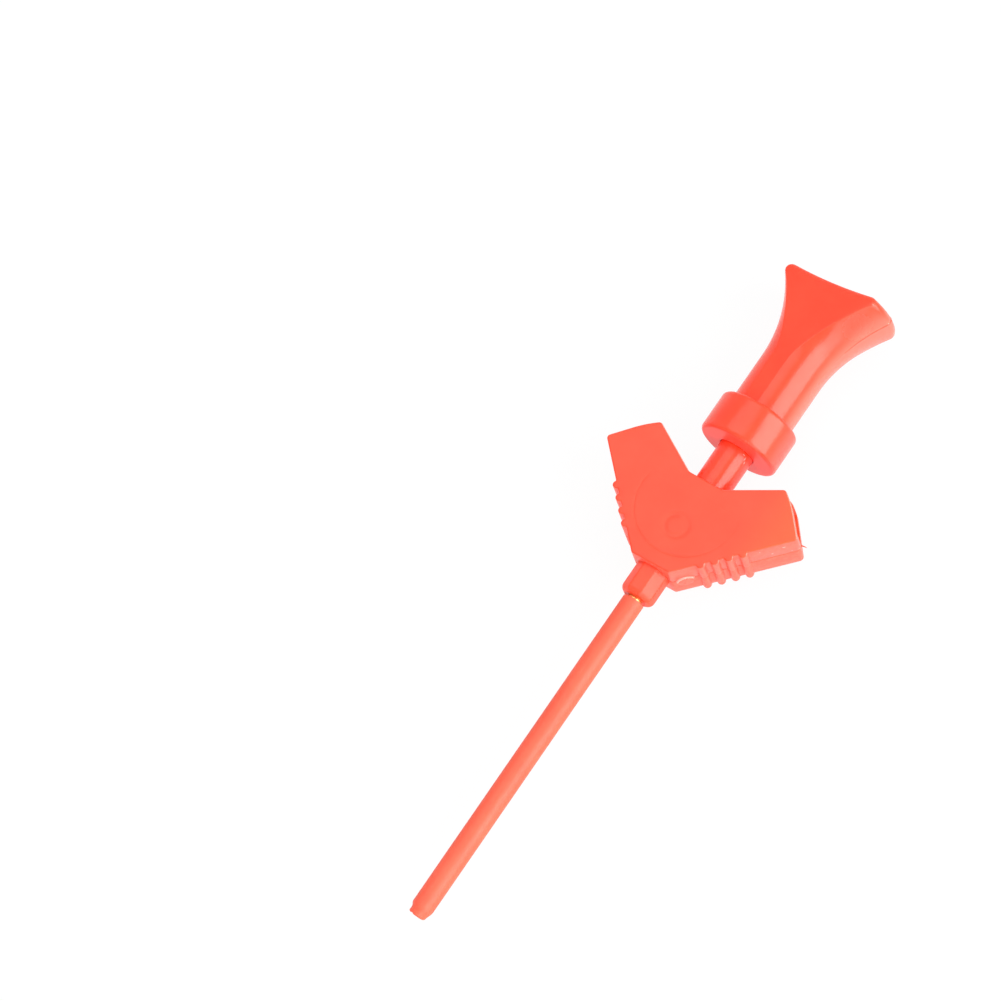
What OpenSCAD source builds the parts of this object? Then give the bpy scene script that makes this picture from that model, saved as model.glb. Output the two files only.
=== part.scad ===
// Test hook clip. Pressing the button slides two sprung claws out of the insulated tube.
// The tube's axis lies along +X towards the button, the front face looks up along +Z,
// and the origin is the centre of the tube's mouth. Millimetres.

/* [Nose tube] */
// Length of the insulating tube, from its mouth to the bare band
tube_len = 26.65; // [18:0.05:34]
// Outside diameter of the insulating tube
tube_od = 1.6; // [1.5:0.01:1.8]
// Outside diameter of the insulating tube at its shrunk mouth
mouth_od = 1.3; // [1.2:0.01:1.45]
// Bore of the insulating tube at its mouth
mouth_bore = 0.9; // [0.8:0.01:1.0]
// Length of insulating tube that reaches past the brass tube
mouth_len = 0.9; // [0.6:0.1:1.4]
// Slant of the cut across the mouth, in degrees
mouth_slant = 15; // [5:1:20]
// Outside diameter of the brass tube
brass_od = 1.1; // [1:0.02:1.2]
// Bore of the brass tube
brass_bore = 0.8; // [0.78:0.02:0.86]
// Bare brass that shows between the insulating tube and the ferrule
bare_len = 0.15; // [0.1:0.05:0.8]

/* [Nose ferrule] */
// Width of the eight-sided ferrule across its flats
ferrule_w = 2.4; // [2.3:0.02:2.7]
// Length of ferrule that stands out of the body
ferrule_len = 2.3; // [1.6:0.1:4]
// Rounding of the ferrule's free end
ferrule_round = 0.45; // [0.2:0.05:0.5]
// Diameter of the mouth in the ferrule's free end
ferrule_mouth = 1.7; // [1.6:0.05:1.9]
// Depth of that mouth
ferrule_mouth_depth = 0.6; // [0.2:0.1:1.2]

/* [Body] */
// Thickness of the body, both shells together
body_t = 3.45; // [3:0.05:3.8]
// Width of the nose face
nose_w = 3.05; // [2.8:0.05:3.4]
// Distance between the outer corners of the two wings
wing_span = 15.82; // [14.5:0.02:18]
// Distance along the axis from the nose face to the outer wing corners
wing_reach = 6.41; // [5.8:0.01:7.5]
// Width of each wing's end wall
wing_end_w = 3.9; // [3.6:0.05:4.2]
// Crown of each wing's end wall
wing_crown = 0.03; // [0.02:0.01:0.2]
// Distance along the axis from the nose face to the floor of the notch
notch_reach = 7.0; // [6.6:0.05:7.4]
// Width of the notch floor that the stem stands on
notch_w = 2.76; // [2.7:0.02:3.2]
// Rounding of the corners of the nose and of the wings' outer corners
corner_r = 0.25; // [0.1:0.05:0.4]
// Rounding of the wings' inner corners
top_r = 0.35; // [0.1:0.05:0.6]
// Rounding of the two corners in the notch
notch_r = 0.6; // [0.2:0.1:0.8]
// Depth of the D-shaped mark in the front face
mark_depth = 0.04; // [0.03:0.01:0.15]
// Radius of the D-shaped mark
mark_r = 3.8; // [2.5:0.1:4]
// Distance along the axis from the nose face to the centre of the mark
mark_reach = 4.85; // [4.4:0.05:5.2]
// Distance along the axis from the nose face to the mark's straight edge
mark_chord = 5.7; // [5:0.1:6]

/* [Grip ribs] */
// Number of ribs on each wing
rib_count = 4; // [2:1:5]
// Distance from the nose corner to the first rib
rib_start = 2.25; // [1.5:0.05:2.6]
// Distance from rib to rib
rib_pitch = 0.99; // [0.8:0.01:1.1]
// Width of a rib at the wall
rib_w = 0.6; // [0.4:0.05:0.7]
// Height of a rib above the wall
rib_h = 0.3; // [0.15:0.01:0.4]

/* [Wing sockets] */
// Width of the socket in each wing end
socket_w = 2.2; // [1.9:0.05:2.4]
// Height of the socket through the body's thickness
socket_t = 1.9; // [1.6:0.05:2.1]
// Depth of the socket
socket_depth = 4.2; // [3.6:0.1:4.4]
// Side of the square contact posts
post_side = 0.64; // [0.5:0.02:0.8]
// Distance of a post's tip below the wing end
post_recess = 0.4; // [0.2:0.1:1.5]
// Length of post that is held in the body
post_root = 1.8; // [1.2:0.1:2]
// Thickness of the contact plate
plate_t = 0.25; // [0.2:0.05:0.35]
// Width of the contact plate's arms
arm_w = 1.0; // [0.8:0.05:1.2]
// Diameter of the pegs that join the shells
peg_d = 0.7; // [0.5:0.05:0.8]
// Height of those pegs
peg_h = 0.7; // [0.4:0.05:0.9]

/* [Guide stem] */
// Outside diameter of the stem
stem_od = 2.64; // [2.4:0.02:2.68]
// Bore of the stem
stem_bore = 0.8; // [0.76:0.02:1.0]
// Diameter of the stop flange inside the button
stop_od = 3.5; // [3.3:0.02:3.54]
// Thickness of the stop flange
stop_t = 0.55; // [0.4:0.05:0.8]

/* [Button] */
// Travel of the button, until its collar is about to meet the wings
stroke = 2.3; // [1.5:0.1:3]
// Turn of the button about the axis, seen from the mouth
button_twist = -13.6; // [-45:0.1:45]
// Length from the underside of the collar to the top of the button
button_len = 13.52; // [12.6:0.02:16]
// Diameter of the button's shaft
shaft_od = 4.68; // [4.5:0.02:4.9]
// Bore of the button
button_bore = 3.6; // [3.58:0.01:3.7]
// Distance from the underside of the collar to the start of the flare
flare_start = 6.76; // [5:0.02:7.5]
// Radius of the flare, seen from the front
flare_r = 10.6; // [9:0.1:16]
// Radius of the button's rim
rim_r = 4.52; // [4:0.02:4.8]
// Rounding of the rim
rim_round = 0.4; // [0.2:0.05:0.45]
// Distance between the two flats of the button
flat_w = 4.51; // [4.4:0.01:5]
// Radius of the dished top
dish_r = 37; // [25:1:60]

/* [Collar] */
// Outside diameter of the collar
collar_od = 6.0; // [5.8:0.05:6.3]
// Length of the collar
collar_len = 3.08; // [2.4:0.02:3.4]
// Rounding of the collar's edges
collar_round = 0.3; // [0.1:0.05:0.4]
// Hole in the collar, round the stem
collar_hole = 3.1; // [2.9:0.02:3.2]
// Thickness of the collar's web below the stop flange
web_t = 0.7; // [0.5:0.05:0.9]
// Depth of the dish in the collar's underside
hollow_depth = 0.35; // [0.2:0.05:0.5]
// Width of the flat lip round that dish
lip_w = 0.25; // [0.15:0.05:0.4]

/* [Return spring] */
// Wire diameter of the spring
spring_wire = 0.28; // [0.2:0.02:0.32]
// Outside diameter of the spring
spring_od = 3.2; // [3:0.05:3.35]
// Number of coils, end coils included
spring_coils = 8; // [6:1:10]
// Length of the spring at rest
spring_len = 7.3; // [6.6:0.1:7.6]

/* [Hook wires] */
// Diameter of the hook wires
wire_d = 0.32; // [0.28:0.01:0.33]
// Distance between the centres of the two wires
wire_pitch = 0.37; // [0.36:0.01:0.4]
// Distance of the claw tips inside the mouth at rest
claw_inset = 0.35; // [0.2:0.05:0.6]
// Length of a claw, from its bend to its tip
claw_len = 2.1; // [1.8:0.05:2.4]
// Thickness of a claw, where the wire is rolled flat
claw_t = 0.2; // [0.16:0.01:0.22]
// Width of a claw
claw_w = 0.4; // [0.36:0.01:0.42]
// Gap between the two hooked tips at rest
claw_gap = 0.06; // [0.04:0.01:0.09]
// Diameter of the crimp that holds the wires in the button
crimp_d = 1.3; // [1.1:0.05:1.6]
// Length of the crimp
crimp_len = 2.0; // [1.4:0.1:2.2]

/* [Hidden] */
$fn = 48;

// Colours
red = [0.90, 0.16, 0.11];
soft_red = [0.88, 0.20, 0.13];
gold = [0.86, 0.68, 0.32];
steel = [0.72, 0.73, 0.75];

// Clearances: fixed fits, turning or sliding fits, and the reach of a cut past a face
fit = 0.02;
run = 0.05;
over = 0.5;

// Stations along the axis
mouth_taper = 0.8;
mouth_turn = 22;
ferrule_x = tube_len + bare_len;
nose_x = ferrule_x + ferrule_len;
notch_x = nose_x + notch_reach;

// Ferrule root, held between the shells by a flange
ferrule_root_d = 1.9;
ferrule_root_end = nose_x + 1.0;
key_d = 2.3;
key_t = 0.4;
ferrule_key_x = nose_x + 0.35;

// Stem root, held between the shells by a flange
stem_root_d = 1.8;
stem_root_x = notch_x - 2.2;
stem_key_x = notch_x - 1.2;
guide_d = 1.6;
guide_len = 1.8;

// Wing outline and its own frame: origin at the middle of the end wall, +X inwards
nose_half = nose_w / 2;
wing_corner = [nose_x + wing_reach, wing_span / 2];
wing_angle = atan2(wing_span / 2 - nose_half, wing_reach);
wing_top = wing_corner + wing_end_w * [sin(wing_angle), -cos(wing_angle)];
wing_end = (wing_corner + wing_top) / 2;
wing_to_axis = wing_end.y / sin(wing_angle);
wing_peak = wing_end + wing_crown * [cos(wing_angle), sin(wing_angle)];
crown_r = 0.7 * pow(wing_end_w / 2, 2) / wing_crown;
half_outline = [[nose_x, nose_half], wing_corner, wing_peak, wing_top, [notch_x, notch_w / 2]];
half_radii = [corner_r, corner_r, crown_r, top_r, notch_r];

// The collar stands off the notch by its travel, where its rim would meet the wings' inner walls
stop_gap = 0.1;
wing_slope = (wing_top.x - notch_x) / (wing_top.y - notch_w / 2);
collar_x = notch_x + stroke + stop_gap + wing_slope * (collar_od - notch_w) / 2;
button_top = collar_x + button_len;

// Shell pegs, in the wing's frame
peg_wall = 0.26;
peg_edge = 0.8;
peg_spots = [
    [socket_depth - 0.2, socket_w / 2 + peg_wall + peg_d / 2],
    [socket_depth + post_root + 1.5, peg_edge - wing_end_w / 2]
];

// Contact plate saddle round the brass tube
saddle_x = ferrule_root_end + 0.3;
saddle_len = 2.8;
saddle_r = brass_od / 2 + fit + plate_t;
brass_end = saddle_x + saddle_len;
arm_z = -post_side / 2 - fit - plate_t;
arm_start = socket_depth + 0.3;
arm_end = wing_to_axis - 0.3;

// Collar, button and spring seats
web_top = collar_x + hollow_depth + web_t;
stop_x = web_top + run;
spring_x = stop_x + stop_t + fit;
bore_end = spring_x + spring_len + fit;
rim_sag = dish_r - sqrt(pow(dish_r, 2) - pow(rim_r - rim_round, 2));
flare_x = collar_x + flare_start;

// Wires and claws
claw_bend = claw_inset + claw_len;
wire_start = claw_bend + claw_t / 2 + fit;
crimp_x = bore_end + fit;
crimp_bore = wire_pitch + wire_d + 2 * fit;
crimp_wall = 0.3;

// Lays a piece drawn along +Z along the clip's axis
module along_axis(x = 0) { translate([x, 0, 0]) rotate([0, 90, 0]) children(); }

// A piece turned about the axis, from [radius, station] points
module turned(points) { along_axis() rotate_extrude() polygon(points); }

// A round bar on the axis between two stations
module bar(x0, x1, d) { along_axis(x0) cylinder(d = d, h = x1 - x0); }

// A square-ended block centred on the local X axis
module block(x0, x1, w, t) { translate([x0, -w / 2, -t / 2]) cube([x1 - x0, w, t]); }

// Places a child in a wing's own frame; side is 1 for the left wing, -1 for the right
module on_wing(side) {
    mirror([0, side < 0 ? 1 : 0, 0]) translate(wing_end) rotate(wing_angle + 180) children();
}

// Turns what belongs to the button about the axis
module with_button() { rotate([button_twist, 0, 0]) children(); }

// Arc points that round corner p between neighbours a and b
function unit(v) = v / norm(v);
function turn_of(d) = d > 180 ? d - 360 : d < -180 ? d + 360 : d;
function corner_arc(a, p, b, r, n) =
    let (
        u = unit(a - p),
        v = unit(b - p),
        half = acos(u * v) / 2,
        c = p + unit(u + v) * r / sin(half),
        from = p + u * r / tan(half) - c,
        to = p + v * r / tan(half) - c,
        start = atan2(from.y, from.x),
        sweep = turn_of(atan2(to.y, to.x) - start)
    )
    [for (i = [0:n]) c + r * [cos(start + sweep * i / n), sin(start + sweep * i / n)]];
function rounded(points, radii, n = 5) =
    let (last = len(points) - 1)
    [for (i = [0:last])
        each corner_arc(points[i == 0 ? last : i - 1], points[i], points[i == last ? 0 : i + 1], radii[i], n)];

// Outline of the body, seen from the front
module body_outline() {
    back = [len(half_outline) - 1:-1:0];
    points = concat(half_outline, [for (i = back) [half_outline[i].x, -half_outline[i].y]]);
    polygon(rounded(points, concat(half_radii, [for (i = back) half_radii[i]])));
}

// Rounded ribs along the outer wall of both wings
module grip_ribs(height) {
    rib_r = (pow(rib_w / 2, 2) + pow(rib_h, 2)) / (2 * rib_h);
    for (side = [0, 1], i = [0:rib_count - 1])
        mirror([0, side, 0]) translate([nose_x, nose_half, 0]) rotate(wing_angle)
            translate([rib_start + i * rib_pitch, rib_h - rib_r, 0]) cylinder(r = rib_r, h = height);
}

// One shell without its pockets, from the seam up to the face
module shell_blank() {
    linear_extrude(body_t / 2) body_outline();
    grip_ribs(body_t / 2);
}

// Space for everything that the two shells hold between them
module body_pockets() {
    bar(nose_x - over, ferrule_root_end + fit, ferrule_root_d + 2 * fit);
    bar(ferrule_key_x - fit, ferrule_key_x + key_t + fit, key_d + 2 * fit);
    bar(nose_x, stem_root_x, brass_od + 2 * fit);
    bar(saddle_x - fit, brass_end + fit, 2 * (saddle_r + fit));
    bar(stem_root_x - fit, notch_x + over, stem_root_d + 2 * fit);
    bar(stem_key_x - fit, stem_key_x + key_t + fit, key_d + 2 * fit);
    for (side = [1, -1]) on_wing(side) {
        block(-over, socket_depth, socket_w, socket_t);
        block(socket_depth - over, socket_depth + post_root + fit, post_side + 2 * fit, post_side + 2 * fit);
    }
}

module front_shell() {
    color(red) difference() {
        shell_blank();
        body_pockets();
        translate([0, 0, body_t / 2 - mark_depth]) linear_extrude(mark_depth + over) face_mark();
        for (side = [1, -1], spot = peg_spots)
            on_wing(side) translate(concat(spot, -over)) cylinder(d = peg_d + 2 * fit, h = peg_h + fit + over);
    }
}

// D-shaped mark of the mould's core, with its straight edge towards the button
module face_mark() {
    translate([nose_x + mark_reach, 0]) intersection() {
        circle(mark_r);
        translate([-mark_r, -mark_r]) square([mark_r + mark_chord - mark_reach, 2 * mark_r]);
    }
}

module rear_shell() {
    color(red) {
        difference() {
            mirror([0, 0, 1]) shell_blank();
            body_pockets();
            for (side = [1, -1]) on_wing(side)
                translate([arm_start - fit, -arm_w / 2 - fit, arm_z - fit])
                    cube([arm_end - arm_start + 2 * fit, arm_w + 2 * fit, fit - arm_z + over]);
        }
        for (side = [1, -1], spot = peg_spots)
            on_wing(side) translate(concat(spot, -over)) cylinder(d = peg_d, h = peg_h + over);
    }
}

// Square post with a tip that is tapered on all four sides
module contact_post(side) {
    tip = post_side / 2;
    length = socket_depth + post_root - post_recess;
    taper = [[0, -tip / 2], [tip, -tip], [length, -tip], [length, tip], [tip, tip], [0, tip / 2]];
    color(gold) on_wing(side) translate([post_recess, 0, 0]) intersection() {
        translate([0, 0, -post_side]) linear_extrude(2 * post_side) polygon(taper);
        rotate([90, 0, 0]) translate([0, 0, -post_side]) linear_extrude(2 * post_side) polygon(taper);
    }
}
module left_post() { contact_post(1); }
module right_post() { contact_post(-1); }

// Stamped plate: a saddle under the brass tube and an arm under each post
module contact_plate() {
    color(gold) difference() {
        union() {
            intersection() {
                bar(saddle_x, brass_end, 2 * saddle_r);
                translate([saddle_x, -saddle_r, -saddle_r]) cube([saddle_len, 2 * saddle_r, saddle_r]);
            }
            for (side = [1, -1]) on_wing(side)
                translate([arm_start, -arm_w / 2, arm_z]) cube([arm_end - arm_start, arm_w, plate_t]);
        }
        bar(nose_x, notch_x, brass_od + 2 * fit);
    }
}

module nose_ferrule() {
    color(red) difference() {
        union() {
            intersection() {
                along_axis(ferrule_x) rotate(22.5) cylinder(d = ferrule_w / cos(22.5), h = ferrule_len, $fn = 8);
                ferrule_lathe();
            }
            bar(nose_x, ferrule_root_end, ferrule_root_d);
            bar(ferrule_key_x, ferrule_key_x + key_t, key_d);
        }
        bar(ferrule_x - over, ferrule_root_end + over, brass_od + 2 * fit);
        bar(ferrule_x - over, ferrule_x + ferrule_mouth_depth, ferrule_mouth);
    }
}

// Turned form that rounds the ferrule's free end
module ferrule_lathe() {
    r = ferrule_w / 2 / cos(22.5) + run;
    inner = r - ferrule_round;
    along_axis(ferrule_x) rotate_extrude() {
        square([inner, ferrule_len + over]);
        translate([0, ferrule_round]) square([r, ferrule_len + over - ferrule_round]);
        translate([inner, ferrule_round]) circle(ferrule_round);
    }
}

module brass_tube() {
    color(gold) turned([
        [brass_bore / 2, mouth_len], [brass_od / 2, mouth_len],
        [brass_od / 2, brass_end], [brass_bore / 2, brass_end]
    ]);
}

// Shrunk tubing, cut on the slant across its mouth
module insulating_tube() {
    r_in = brass_od / 2 + fit;
    color(soft_red) difference() {
        turned([
            [mouth_bore / 2, 0], [mouth_od / 2, 0], [tube_od / 2, mouth_taper],
            [tube_od / 2, tube_len], [r_in, tube_len], [r_in, mouth_len]
        ]);
        rotate([mouth_turn, 0, 0]) translate([0, 0, mouth_od / 2]) rotate([0, -mouth_slant, 0])
            translate([-tube_od, -tube_od, -2 * tube_od]) cube([tube_od, 2 * tube_od, 3 * tube_od]);
    }
}

module guide_stem() {
    stop_end = stop_x + stop_t;
    color(red) turned([
        [stem_bore / 2, stem_root_x], [stem_root_d / 2, stem_root_x],
        [stem_root_d / 2, stem_key_x], [key_d / 2, stem_key_x],
        [key_d / 2, stem_key_x + key_t], [stem_root_d / 2, stem_key_x + key_t],
        [stem_root_d / 2, notch_x], [stem_od / 2, notch_x],
        [stem_od / 2, stop_x], [stop_od / 2, stop_x],
        [stop_od / 2, stop_end], [guide_d / 2, stop_end],
        [guide_d / 2, stop_end + guide_len], [stem_bore / 2, stop_end + guide_len]
    ]);
}

// Compression spring swept along its coil, with closed end coils
spring_sides = 6;
spring_steps = 20;
closed_pitch = 1.1 * spring_wire;
open_pitch = (spring_len - spring_wire - 2 * closed_pitch) / (spring_coils - 2);
function coil_station(turns) =
    closed_pitch * (min(turns, 1) + max(0, turns - spring_coils + 1))
    + open_pitch * max(0, min(turns - 1, spring_coils - 2));
module return_spring() {
    coil_r = (spring_od - spring_wire) / 2;
    rings = spring_coils * spring_steps;
    points = [
        for (i = [0:rings], k = [0:spring_sides - 1])
            let (
                a = 360 * i / spring_steps,
                b = 360 * k / spring_sides,
                r = coil_r + spring_wire / 2 * cos(b),
                x = spring_x + spring_wire / 2 * (1 + sin(b)) + coil_station(i / spring_steps)
            )
            [x, r * cos(a), r * sin(a)]
    ];
    sides = [
        for (i = [0:rings - 1], k = [0:spring_sides - 1])
            let (n = (k + 1) % spring_sides, p = i * spring_sides, q = p + spring_sides)
            [p + k, q + k, q + n, p + n]
    ];
    first = [for (k = [0:spring_sides - 1]) k];
    last = [for (k = [spring_sides - 1:-1:0]) rings * spring_sides + k];
    color(steel) polyhedron(points, concat(sides, [first, last]));
}

// Half section of the button: straight shaft, trumpet flare, dished top and rounded rim
module button_section() {
    height = button_top - web_top;
    intersection() {
        difference() {
            translate([0, web_top]) square([rim_r, height]);
            translate([shaft_od / 2, web_top - over]) square([rim_r, flare_x - web_top + over]);
            translate([shaft_od / 2 + flare_r, flare_x]) circle(flare_r, $fn = 96);
            translate([0, button_top - rim_sag + dish_r]) circle(dish_r, $fn = 96);
        }
        union() {
            translate([0, web_top]) square([rim_r - rim_round, height]);
            translate([0, web_top]) square([rim_r, height - rim_round]);
            translate([rim_r - rim_round, button_top - rim_round]) circle(rim_round);
        }
    }
}

module thumb_button() {
    color(red) with_button() difference() {
        intersection() {
            along_axis() rotate_extrude() button_section();
            block(web_top - over, button_top + over, 2 * rim_r + over, flat_w);
        }
        bar(web_top - over, bore_end, button_bore);
        bar(bore_end - over, crimp_x + crimp_len + fit, crimp_d + 2 * fit);
    }
}

// Half section of the collar: rounded outside, seat for the shaft, stem hole and dished underside
module collar_section() {
    r = collar_od / 2;
    inner = r - collar_round;
    difference() {
        union() {
            translate([0, collar_x]) square([inner, collar_len]);
            translate([0, collar_x + collar_round]) square([r, collar_len - 2 * collar_round]);
            for (x = [collar_x + collar_round, collar_x + collar_len - collar_round])
                translate([inner, x]) circle(collar_round);
        }
        translate([0, collar_x - over]) square([collar_hole / 2, collar_len + 2 * over]);
        translate([0, web_top]) square([shaft_od / 2 + fit, collar_len]);
        polygon([
            [0, collar_x - over], [inner - lip_w, collar_x - over], [inner - lip_w, collar_x],
            [collar_hole / 2 + lip_w, collar_x + hollow_depth], [0, collar_x + hollow_depth]
        ]);
    }
}

module collar_ring() {
    color(red) with_button() along_axis() rotate_extrude() collar_section();
}

// Brass crimp with a pinched waist
module wire_crimp() {
    waist = crimp_d / 2 - 0.12;
    band = crimp_len / 4;
    color(gold) with_button() turned([
        [crimp_bore / 2, crimp_x], [crimp_d / 2, crimp_x], [crimp_d / 2, crimp_x + band],
        [waist, crimp_x + 1.4 * band], [waist, crimp_x + 2.6 * band],
        [crimp_d / 2, crimp_x + 3 * band], [crimp_d / 2, crimp_x + crimp_len],
        [crimp_bore / 2, crimp_x + crimp_len]
    ]);
}

// One hook wire, from its claw's bend to the crimp
module hook_wire(side) {
    color(steel) with_button() translate([0, side * wire_pitch / 2, 0])
        bar(wire_start, crimp_x + crimp_len, wire_d);
}
module left_wire() { hook_wire(1); }
module right_wire() { hook_wire(-1); }

// One claw: the wire rolled flat, with a tip hooked in towards the other claw
module claw(side) {
    outer = (wire_pitch + claw_t) / 2;
    inner = outer - claw_t;
    hook_end = claw_inset + claw_t;
    color(gold) with_button() mirror([0, side < 0 ? 1 : 0, 0])
        translate([0, 0, -claw_w / 2]) linear_extrude(claw_w) {
            polygon([
                [claw_bend, outer], [hook_end, outer], [claw_inset, inner], [claw_inset, claw_gap / 2],
                [hook_end, claw_gap / 2], [hook_end, inner], [claw_bend, inner]
            ]);
            translate([claw_bend, wire_pitch / 2]) circle(d = claw_t);
        }
}
module left_claw() { claw(1); }
module right_claw() { claw(-1); }

front_shell();
rear_shell();
left_post();
right_post();
contact_plate();
nose_ferrule();
brass_tube();
insulating_tube();
guide_stem();
return_spring();
thumb_button();
collar_ring();
wire_crimp();
left_wire();
right_wire();
left_claw();
right_claw();
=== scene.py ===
"""Looks of the test hook clip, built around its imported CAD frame. Sizes are in millimetres."""

import math

import bmesh
import bpy
from mathutils import Matrix, Vector, noise
from mathutils.geometry import delaunay_2d_cdt

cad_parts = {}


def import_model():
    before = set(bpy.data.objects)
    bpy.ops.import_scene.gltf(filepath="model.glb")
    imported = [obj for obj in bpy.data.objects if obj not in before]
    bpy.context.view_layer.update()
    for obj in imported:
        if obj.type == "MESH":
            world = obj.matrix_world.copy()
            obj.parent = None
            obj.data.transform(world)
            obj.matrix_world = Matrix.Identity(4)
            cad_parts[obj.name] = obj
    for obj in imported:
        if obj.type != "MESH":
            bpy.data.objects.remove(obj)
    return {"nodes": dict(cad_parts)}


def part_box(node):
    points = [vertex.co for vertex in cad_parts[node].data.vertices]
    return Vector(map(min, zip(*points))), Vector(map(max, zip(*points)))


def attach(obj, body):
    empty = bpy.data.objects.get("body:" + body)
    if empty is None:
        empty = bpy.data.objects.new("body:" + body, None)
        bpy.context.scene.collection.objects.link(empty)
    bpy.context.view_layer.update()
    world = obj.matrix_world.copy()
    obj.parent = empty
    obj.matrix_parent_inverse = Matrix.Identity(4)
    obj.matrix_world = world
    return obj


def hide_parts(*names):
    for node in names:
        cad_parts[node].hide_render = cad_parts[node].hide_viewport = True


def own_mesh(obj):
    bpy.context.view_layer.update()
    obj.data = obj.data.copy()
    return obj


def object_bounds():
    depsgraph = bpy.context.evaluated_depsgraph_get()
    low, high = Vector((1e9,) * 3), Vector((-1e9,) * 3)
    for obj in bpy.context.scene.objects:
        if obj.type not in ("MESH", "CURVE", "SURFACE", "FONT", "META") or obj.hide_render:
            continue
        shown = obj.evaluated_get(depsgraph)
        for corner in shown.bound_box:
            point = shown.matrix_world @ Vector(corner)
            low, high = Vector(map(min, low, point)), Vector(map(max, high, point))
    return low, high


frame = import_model()
cad_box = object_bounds()
MM = 0.001


def node_box(node):
    """Lowest and highest corner of a CAD node, in millimetres."""
    low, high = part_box(node)
    return [v / MM for v in low], [v / MM for v in high]


# Stations along the axis, taken from the CAD nodes
TUBE_END = node_box("insulating_tube")[1][0]
FERRULE_X = node_box("nose_ferrule")[0][0]
FERRULE_END = node_box("nose_ferrule")[1][0]
NOSE_X = node_box("front_shell")[0][0]
BODY_T = node_box("front_shell")[1][2]
COLLAR_X = node_box("collar_ring")[0][0]
COLLAR_END = node_box("collar_ring")[1][0]
WEB_TOP = node_box("thumb_button")[0][0]
BUTTON_TOP = node_box("thumb_button")[1][0] - 0.002
STEM_X, STEM_END = (box[0] for box in node_box("guide_stem"))
BORE_END = node_box("return_spring")[1][0] + 0.02

# Sizes of the moulded body
NOTCH_X = NOSE_X + 7.0
NOSE_HALF = 1.525
WING_CORNER = (NOSE_X + 6.41, 7.91)
WING_END_W = 3.9
NOTCH_HALF = 1.38
NOSE_R = 0.25
NOTCH_R = 0.6

# Wing ends of the two shells: crown, its place between the outer and the top corner, the corners' radii
FRONT_END = {"crown": 0.16, "place": 0.7, "corner_r": 0.28, "top_r": 0.34}
REAR_END = {"crown": 0.25, "place": 0.86, "corner_r": 0.31, "top_r": 0.15}
FRONT_EDGE_R, REAR_EDGE_R = 0.12, 0.04
WING_ANGLE = math.atan2(WING_CORNER[1] - NOSE_HALF, WING_CORNER[0] - NOSE_X)

# Grip ribs, counted along the wing's outer wall from the nose corner
RIB_COUNT, RIB_START, RIB_PITCH = 4, 2.25, 0.99
RIB_HALF, RIB_H, RIB_ROUND = 0.31, 0.295, 0.6

# Small forms on the front face: places, depths, widths and the side on which they are deepest
MARK_R, MARK_REACH, MARK_CHORD, MARK_DEPTH, MARK_BLEND = 3.8, 4.85, 5.7, 0.006, 0.12
SCORE_DEPTH, SCORE_W, SCORE_TURN = 0.024, 0.05, math.radians(150)
SINK, SINK_R, SINK_TURN = (NOSE_X + 3.2, -0.06), 0.82, math.radians(140)
SINK_DEPTH, SINK_W = 0.052, 0.2
DIMPLE, DIMPLE_DEPTH, DIMPLE_W = (NOSE_X + 4.2, -1.4), 0.03, 0.8
SWELL_H, SWELL_SCALE = 0.02, 0.7

# Pieces held in the body: radii, where their keys start and end, and the room left round them
FIT = 0.02
BRASS_FIT_R = 0.57
FERRULE_SEAT_R, FERRULE_KEY_R, FERRULE_KEY = 0.95, 1.15, (NOSE_X + 0.35, NOSE_X + 0.75)
STEM_SEAT_R, STEM_KEY_R, STEM_KEY = 0.9, 1.15, (NOTCH_X - 1.2, NOTCH_X - 0.8)

# The button's turn on the axis, as in the photograph
TWIST = math.radians(-13.6)


# Mesh helpers

# Distances in metres within which points are merged and thin faces collapse
MERGE_DIST, COLLAPSE_DIST = 2e-7, 1e-8


def loft(rings, closed=False, caps=(True, True)):
    """Vertices and faces of a skin over rings of points; a ring of one point is a pole."""
    verts, starts = [], []
    for ring in rings:
        starts.append(len(verts))
        verts += ring
    faces = []
    pairs = [(i, i + 1) for i in range(len(rings) - 1)]
    if closed:
        pairs.append((len(rings) - 1, 0))
    for a, b in pairs:
        n, m = len(rings[a]), len(rings[b])
        for k in range(max(n, m)):
            j = (k + 1) % max(n, m)
            quad = [starts[a] + k % n, starts[a] + j % n, starts[b] + j % m, starts[b] + k % m]
            faces.append([v for i, v in enumerate(quad) if v not in quad[:i]])
    if not closed:
        for end, cap in ((0, caps[0]), (len(rings) - 1, caps[1])):
            if cap and len(rings[end]) > 2:
                faces.append([starts[end] + k for k in range(len(rings[end]))])
    return verts, faces


def circle(x, r, n):
    """Ring of n points round the axis at station x."""
    if r <= 0:
        return [(x, 0.0, 0.0)]
    return [(x, r * math.cos(2 * math.pi * k / n), r * math.sin(2 * math.pi * k / n)) for k in range(n)]


def arc_points(cx, cr, r, start, end, steps):
    """Points of an arc in the (station, radius) plane, angles in degrees from +station."""
    angles = [math.radians(start + (end - start) * i / steps) for i in range(steps + 1)]
    return [(cx + r * math.cos(a), cr + r * math.sin(a)) for a in angles]


def stepped(*bands):
    """Profile of (start, end, radius) bands that follow one another along the axis."""
    return [(x, r) for start, end, r in bands for x in (start, end)]


def mesh_of(name, verts, faces):
    """Blender mesh in metres from millimetre points, with clean outward normals."""
    mesh = bpy.data.meshes.new(name)
    mesh.from_pydata([Vector(v) * MM for v in verts], [], faces)
    bm = bmesh.new()
    bm.from_mesh(mesh)
    bmesh.ops.remove_doubles(bm, verts=bm.verts, dist=MERGE_DIST)
    bmesh.ops.dissolve_degenerate(bm, edges=bm.edges, dist=COLLAPSE_DIST)
    bmesh.ops.recalc_face_normals(bm, faces=bm.faces)
    bm.to_mesh(mesh)
    bm.free()
    return mesh


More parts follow.
